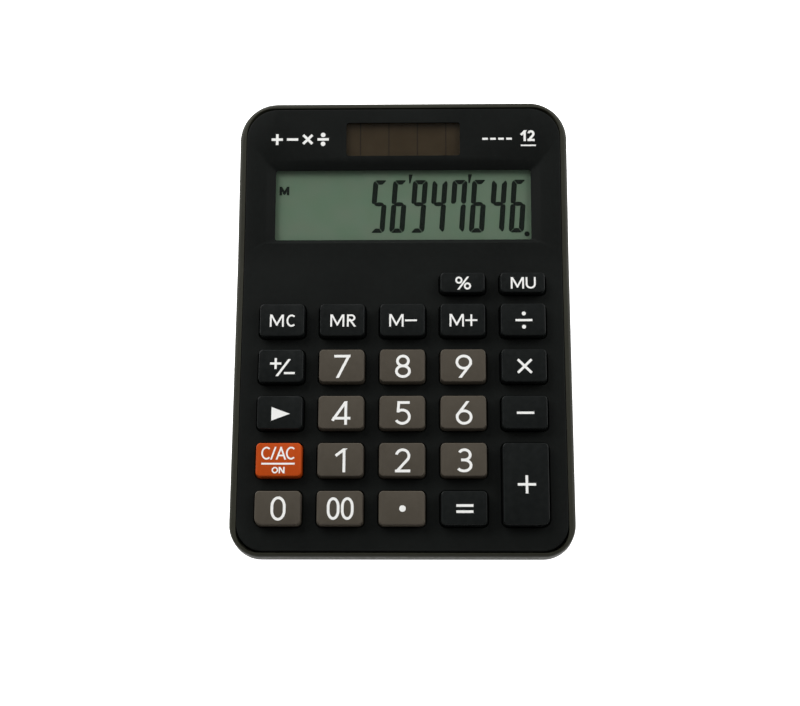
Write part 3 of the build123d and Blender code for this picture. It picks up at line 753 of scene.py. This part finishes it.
def lcd_segment(letter):
    """Corners of one segment, in a digit whose lower left corner is at 0, 0."""
    wide, tall, middle = LCD_DIGIT_WIDTH, LCD_DIGIT_HEIGHT, LCD_MIDDLE
    side = 1 if letter in "abf" else -1
    reach = tall - middle if side > 0 else middle
    if letter == "g":
        points = [(0.85, 0), (1.5, 0.6), (wide / 2, 0.72), (wide - 1.5, 0.6)]
        points += [(wide - 0.85, 0), (wide - 1.5, -0.6), (wide / 2, -0.72), (1.5, -0.6)]
    elif letter in "ad":
        points = [(0.72, reach - 0.18), (1.1, reach), (wide - 1.1, reach), (wide - 0.72, reach - 0.18)]
        points += [(wide - 1.8, reach - 1.42), (wide / 2, reach - 1.5), (1.8, reach - 1.42)]
    else:
        points = [(0.45, 0.12), (0.02, 0.6), (0.0, reach - 1.3), (0.15, reach - 0.7)]
        points += [(0.6, reach - 0.25), (1.7, reach - 1.5), (1.7, 0.85), (1.2, 0.15)]
    if letter in "bc":
        points = [(wide - x, y) for x, y in points]
    return [(x + side * y * LCD_SLANT, middle + side * y) for x, y in points]


def lcd_image():
    """The number on the display, its thousands marks and point, and the memory sign."""
    plane = plane_on("display_window", broad_normal("display_window"))
    print_ = Print()
    for index, digit in enumerate(LCD_SHOWN):
        left = LCD_FIRST + index * LCD_PITCH
        for letter in LCD_SEGMENTS[digit]:
            print_.plate([(left + x, LCD_LOW + y) for x, y in lcd_segment(letter)])
        if index in LCD_TICKS:
            top = LCD_LOW + LCD_DIGIT_HEIGHT + 1.9
            tip = left - 0.75
            print_.plate([(tip, top), (tip + 1.25, top), (tip + 0.55, top - 3.0), (tip + 0.05, top - 3.0)])
    print_.dot((LCD_FIRST + len(LCD_SHOWN) * LCD_PITCH - 1.2, LCD_LOW - 0.5), 0.85)
    print_.word("M", (-38.75, 5.25), 2.9, 0.8)
    print_.drop("display_segments", plane, surface_of("lcd_panel"), body_of("lcd_panel"), SEGMENT_BLACK)


def front_marks():
    """Plain marks above the display: four signs at the left, short strokes and a count at the right."""
    plane = plane_on("display_window", broad_normal("display_window"))
    solar = plane_on("solar_window", broad_normal("solar_window"))
    height = (solar.translation - plane.translation).length / MM
    print_ = Print()
    for index, draw in enumerate((sign_plus, sign_minus, sign_times, sign_divide)):
        size = 3.0 if draw is sign_times else 3.7
        draw(print_, (-41.1 + index * 5.0, height), size, 0.85)
    for index in range(4):
        left = 25.8 + index * 2.6
        print_.bar((left, height - 0.1), (left + 1.8, height - 0.1), 0.7)
    print_.word("12", (40.7, height + 0.9), 3.7, 0.75, gap=0.5)
    print_.bar((38.3, height - 2.4), (43.2, height - 2.4), 0.5)
    print_.drop("front_marks", plane, surface_of("upper_case"), body_of("upper_case"), WHITE_INK)


# ---------------------------------------------------------------- stage


def stage_floor():
    shape = bmesh.new()
    bmesh.ops.create_grid(shape, x_segments=1, y_segments=1, size=3)
    mesh = bpy.data.meshes.new("floor")
    shape.to_mesh(mesh)
    shape.free()
    mesh.materials.append(pale_floor())
    floor = bpy.data.objects.new("floor", mesh)
    bpy.context.scene.collection.objects.link(floor)


def area_light(name, place, size, power):
    """Square soft light aimed at the middle of the calculator."""
    data = bpy.data.lights.new(name, "AREA")
    data.size = size
    data.energy = power
    lamp = bpy.data.objects.new(name, data)
    lamp.location = place
    lamp.rotation_euler = (Vector((0, 0, 0.01)) - Vector(place)).to_track_quat("-Z", "Y").to_euler()
    bpy.context.scene.collection.objects.link(lamp)


def studio():
    scene = bpy.context.scene
    scene.view_settings.view_transform = "Standard"
    world = bpy.data.worlds.new("studio")
    scene.world = world
    world.use_nodes = True
    world.node_tree.nodes["Background"].inputs["Color"].default_value = (1, 1, 1, 1)
    world.node_tree.nodes["Background"].inputs["Strength"].default_value = 0.26
    area_light("rear_left", (-0.7, 0.8, 0.6), 1.1, 25)
    area_light("rear_right", (0.85, 0.5, 0.55), 1.0, 13.5)
    area_light("front", (-0.1, -1.0, 0.4), 0.8, 1.2)


def camera():
    """Camera above the front edge, looking down at the keyboard, turned slightly."""
    place = Vector((9.479, -170.476, 452.931)) * MM
    aim = Vector((-0.799, -9.704, 17.503)) * MM
    back = (place - aim).normalized()
    right = (Vector((1, 0, 0)) - back * back.x).normalized()
    axes = Matrix((right, back.cross(right), back)).transposed().to_4x4()
    data = bpy.data.cameras.new("camera")
    data.lens = 66.2
    data.clip_start = 0.01
    seen = bpy.data.objects.new("camera", data)
    seen.matrix_world = Matrix.Translation(place) @ axes @ Matrix.Rotation(radians(-0.115), 4, "Z")
    bpy.context.scene.collection.objects.link(seen)
    bpy.context.scene.camera = seen


for part in record["subparts"]:
    if part["node"] != "dome_sheet":
        smooth_piece(part["node"], part["material_slot"])
keypad()
key_legends()
lcd_image()
front_marks()
stage_floor()
studio()
camera()
